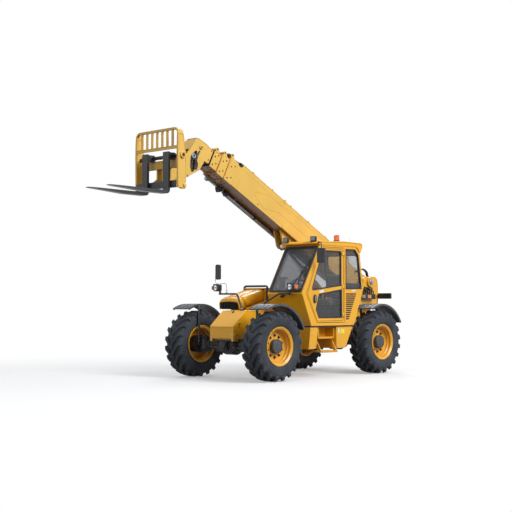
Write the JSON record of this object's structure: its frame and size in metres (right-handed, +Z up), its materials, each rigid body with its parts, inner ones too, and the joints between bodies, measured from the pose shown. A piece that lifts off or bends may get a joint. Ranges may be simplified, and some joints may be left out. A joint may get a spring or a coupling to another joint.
{
  "type": "telehandler",
  "caption": "Wheeled telescopic handler with a side cab, four-section boom, tilting fork carriage, steered wheels and hinged hood.",
  "frame": {"origin": "on the ground at the middle of the overall box", "axes": "+X forward along the machine, +Y to the machine's left (the cab side), +Z up"},
  "size_m": [6.9797, 2.48, 4.1925],
  "materials": {
    "yellow_paint": "gloss machine enamel",
    "dark_grey_paint": "satin enamel",
    "black_paint": "satin enamel",
    "cast_iron": "painted casting",
    "bare_steel": "machined",
    "chrome_rod": "hard chrome",
    "tyre": "moulded",
    "window_glass": "clear",
    "lamp_housing": "moulded",
    "amber_lens": "clear moulded",
    "seat_fabric": "woven",
    "interior_plastic": "grained",
    "fork_steel": "black forged"
  },
  "bodies": {
    "root": {"chassis_frame": "yellow_paint", "chassis_nose": "yellow_paint", "counterweight": "yellow_paint", "pivot_pins": "bare_steel", "front_axle": "black_paint", "rear_axle": "black_paint", "cab_frame": "yellow_paint", "cab_roof": "yellow_paint", "cab_glass": "window_glass", "operator_seat": "seat_fabric", "steering_console": "interior_plastic", "side_tanks": "yellow_paint", "cab_steps": "yellow_paint", "engine_bay": "yellow_paint", "engine_cowl": "yellow_paint", "engine_block": "cast_iron", "air_pre_cleaner": "lamp_housing", "hood_guard": "black_paint", "headlight_arms": "black_paint", "headlights": "lamp_housing", "mirrors": "lamp_housing", "beacon": "amber_lens", "work_lights": "lamp_housing", "tail_lights": "lamp_housing", "valve_box": "black_paint"},
    "hood": {"engine_hood": "yellow_paint"},
    "door": {"cab_door": "yellow_paint", "door_glass": "window_glass"},
    "boom": {"boom_base": "yellow_paint", "extension_cylinder_barrel": "black_paint"},
    "section_2": {"boom_section_2": "yellow_paint", "extension_cylinder_rod": "chrome_rod"},
    "section_3": {"boom_section_3": "yellow_paint"},
    "head": {"boom_head": "yellow_paint"},
    "lift_barrel": {"lift_cylinder_barrel": "yellow_paint"},
    "lift_rod": {"lift_cylinder_rod": "chrome_rod"},
    "tilt_barrel": {"tilt_cylinder_barrel": "black_paint"},
    "tilt_rod": {"tilt_cylinder_rod": "chrome_rod"},
    "carriage": {"fork_carriage": "yellow_paint", "fork_shaft": "black_paint"},
    "left_fork": {"fork_left": "fork_steel"},
    "right_fork": {"fork_right": "fork_steel"},
    "front_left_steer": {"front_left_knuckle": "dark_grey_paint", "front_left_fender": "dark_grey_paint"},
    "front_left_wheel": {"front_left_tyre": "tyre", "front_left_rim": "yellow_paint"},
    "front_right_steer": {"front_right_knuckle": "dark_grey_paint", "front_right_fender": "dark_grey_paint"},
    "front_right_wheel": {"front_right_tyre": "tyre", "front_right_rim": "yellow_paint"},
    "rear_left_steer": {"rear_left_knuckle": "dark_grey_paint", "rear_left_fender": "dark_grey_paint"},
    "rear_left_wheel": {"rear_left_tyre": "tyre", "rear_left_rim": "yellow_paint"},
    "rear_right_steer": {"rear_right_knuckle": "dark_grey_paint", "rear_right_fender": "dark_grey_paint"},
    "rear_right_wheel": {"rear_right_tyre": "tyre", "rear_right_rim": "yellow_paint"}
  },
  "joints": [
    {"name": "boom_lift", "type": "hinge", "parent": "root", "child": "boom", "pos_m": [-3.09, -0.09, 1.76], "axis": [0, -1, 0], "range_deg": [-30, 43]},
    {"name": "boom_extend", "type": "slide", "parent": "boom", "child": "section_2", "axis": [0.8902, 0, 0.4555], "range_m": [0, 3.1]},
    {"name": "section_3_extend", "type": "slide", "parent": "section_2", "child": "section_3", "axis": [0.8902, 0, 0.4555], "range_m": [0, 3.1]},
    {"name": "section_4_extend", "type": "slide", "parent": "section_3", "child": "head", "axis": [0.8902, 0, 0.4555], "range_m": [0, 3.1]},
    {"name": "carriage_tilt", "type": "hinge", "parent": "head", "child": "carriage", "pos_m": [1.9097, -0.09, 3.3805], "axis": [0, -1, 0], "range_deg": [-65, 35]},
    {"name": "lift_barrel_swing", "type": "hinge", "parent": "root", "child": "lift_barrel", "pos_m": [-3.09, -0.09, 0.77], "axis": [0, -1, 0], "range_deg": [-23.2, 33.2]},
    {"name": "lift_rod_slide", "type": "slide", "parent": "lift_barrel", "child": "lift_rod", "axis": [0.7919, 0, 0.6107], "range_m": [-0.38, 0.545]},
    {"name": "tilt_barrel_swing", "type": "hinge", "parent": "head", "child": "tilt_barrel", "pos_m": [1.3266, -0.09, 3.9909], "axis": [0, -1, 0], "range_deg": [-2.3, 3.7]},
    {"name": "tilt_rod_slide", "type": "slide", "parent": "tilt_barrel", "child": "tilt_rod", "axis": [0.8645, 0, -0.5027], "range_m": [-0.15, 0.27]},
    {"name": "fork_left_slide", "type": "slide", "parent": "carriage", "child": "left_fork", "axis": [0, 1, 0], "range_m": [-0.2, 0.12]},
    {"name": "fork_right_slide", "type": "slide", "parent": "carriage", "child": "right_fork", "axis": [0, 1, 0], "range_m": [-0.2, 0.12]},
    {"name": "door_swing", "type": "hinge", "parent": "root", "child": "door", "pos_m": [-1.442, 0.986, 1.64], "axis": [0, 0, 1], "range_deg": [0, 90]},
    {"name": "hood_lift", "type": "hinge", "parent": "root", "child": "hood", "pos_m": [-0.762, -0.64, 1.6], "axis": [0, -1, 0], "range_deg": [0, 60]},
    {"name": "front_left_steering", "type": "hinge", "parent": "root", "child": "front_left_steer", "pos_m": [0.41, 0.61, 0.6], "axis": [0, 0, 1], "range_deg": [-34, 34]},
    {"name": "front_left_wheel_spin", "type": "hinge", "parent": "front_left_steer", "child": "front_left_wheel", "pos_m": [0.41, 0.855, 0.6], "axis": [0, 1, 0], "continuous": true},
    {"name": "front_right_steering", "type": "hinge", "parent": "root", "child": "front_right_steer", "pos_m": [0.41, -0.79, 0.6], "axis": [0, 0, 1], "range_deg": [-34, 34]},
    {"name": "front_right_wheel_spin", "type": "hinge", "parent": "front_right_steer", "child": "front_right_wheel", "pos_m": [0.41, -1.035, 0.6], "axis": [0, 1, 0], "continuous": true},
    {"name": "rear_left_steering", "type": "hinge", "parent": "root", "child": "rear_left_steer", "pos_m": [-2.55, 0.61, 0.6], "axis": [0, 0, 1], "range_deg": [-34, 34]},
    {"name": "rear_left_wheel_spin", "type": "hinge", "parent": "rear_left_steer", "child": "rear_left_wheel", "pos_m": [-2.55, 0.855, 0.6], "axis": [0, 1, 0], "continuous": true},
    {"name": "rear_right_steering", "type": "hinge", "parent": "root", "child": "rear_right_steer", "pos_m": [-2.55, -0.79, 0.6], "axis": [0, 0, 1], "range_deg": [-34, 34]},
    {"name": "rear_right_wheel_spin", "type": "hinge", "parent": "rear_right_steer", "child": "rear_right_wheel", "pos_m": [-2.55, -1.035, 0.6], "axis": [0, 1, 0], "continuous": true}
  ],
  "couplings": [
    {"joint": "front_right_steering", "follows": "front_left_steering", "ratio": 1},
    {"joint": "rear_right_steering", "follows": "rear_left_steering", "ratio": 1},
    {"joint": "section_3_extend", "follows": "boom_extend", "ratio": 1},
    {"joint": "section_4_extend", "follows": "boom_extend", "ratio": 1},
    {"joint": "lift_barrel_swing", "follows": "boom_lift", "ratio": 0.76},
    {"joint": "lift_rod_slide", "follows": "boom_lift", "m_per_rad": 0.72},
    {"joint": "tilt_barrel_swing", "follows": "carriage_tilt", "ratio": -0.05},
    {"joint": "tilt_rod_slide", "follows": "carriage_tilt", "m_per_rad": -0.23}
  ]
}
